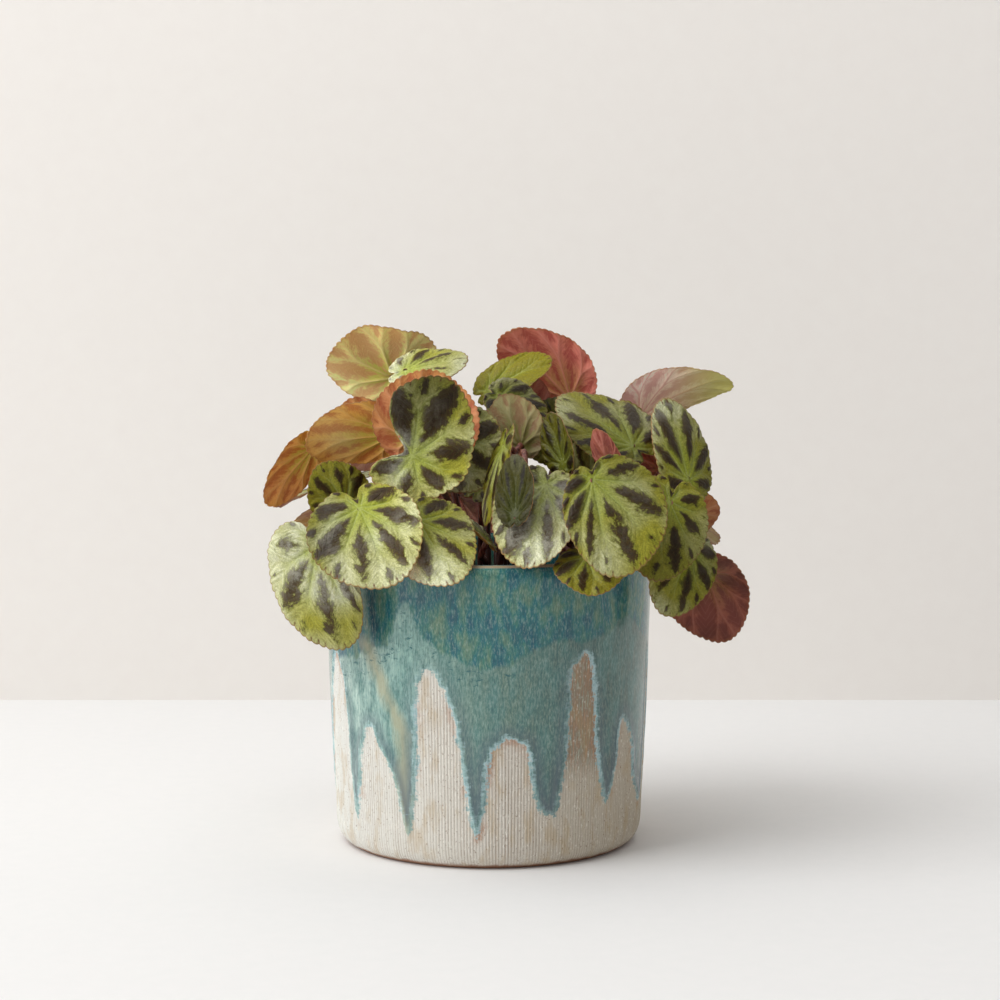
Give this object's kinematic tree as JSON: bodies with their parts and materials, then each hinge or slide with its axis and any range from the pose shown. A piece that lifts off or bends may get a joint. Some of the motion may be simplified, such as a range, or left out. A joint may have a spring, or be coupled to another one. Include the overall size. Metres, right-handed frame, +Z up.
{
  "type": "potted begonia",
  "caption": "Bushy begonia with round, notched, wavy-edged striped leaves on fleshy stalks, standing in soil in a cylindrical drip-glazed stoneware pot.",
  "frame": {"origin": "centre of the pot's flat foot", "axes": "+Z up along the pot's axis, -Y towards the side the picture shows, +X to the right in the picture"},
  "size_m": [0.2264, 0.2137, 0.2465],
  "materials": {
    "glazed_stoneware": "glossy streaked teal drip glaze over bare cream clay with combed upright grooves",
    "potting_mix": "matt, crumbly, dark brown",
    "begonia_leaf": "satin, silvery green along the veins with dark olive bands, red underneath and on the stalks"
  },
  "bodies": {
    "root": {"pot": "glazed_stoneware", "soil": "potting_mix", "leaf_01": "begonia_leaf", "leaf_02": "begonia_leaf", "leaf_03": "begonia_leaf", "leaf_04": "begonia_leaf", "leaf_05": "begonia_leaf", "leaf_06": "begonia_leaf", "leaf_07": "begonia_leaf", "leaf_08": "begonia_leaf", "leaf_09": "begonia_leaf", "leaf_10": "begonia_leaf", "leaf_11": "begonia_leaf", "leaf_12": "begonia_leaf", "leaf_13": "begonia_leaf", "leaf_14": "begonia_leaf", "leaf_15": "begonia_leaf", "leaf_16": "begonia_leaf", "leaf_17": "begonia_leaf", "leaf_18": "begonia_leaf", "leaf_19": "begonia_leaf", "leaf_20": "begonia_leaf", "leaf_21": "begonia_leaf", "leaf_22": "begonia_leaf", "leaf_23": "begonia_leaf", "leaf_24": "begonia_leaf", "leaf_25": "begonia_leaf", "leaf_26": "begonia_leaf", "leaf_27": "begonia_leaf", "leaf_28": "begonia_leaf", "leaf_29": "begonia_leaf", "leaf_30": "begonia_leaf", "leaf_31": "begonia_leaf", "leaf_32": "begonia_leaf", "leaf_33": "begonia_leaf", "leaf_34": "begonia_leaf", "leaf_35": "begonia_leaf", "leaf_36": "begonia_leaf", "leaf_37": "begonia_leaf", "leaf_38": "begonia_leaf", "leaf_39": "begonia_leaf", "leaf_40": "begonia_leaf", "leaf_41": "begonia_leaf", "leaf_42": "begonia_leaf", "leaf_43": "begonia_leaf", "leaf_44": "begonia_leaf", "leaf_45": "begonia_leaf"}
  },
  "joints": []
}
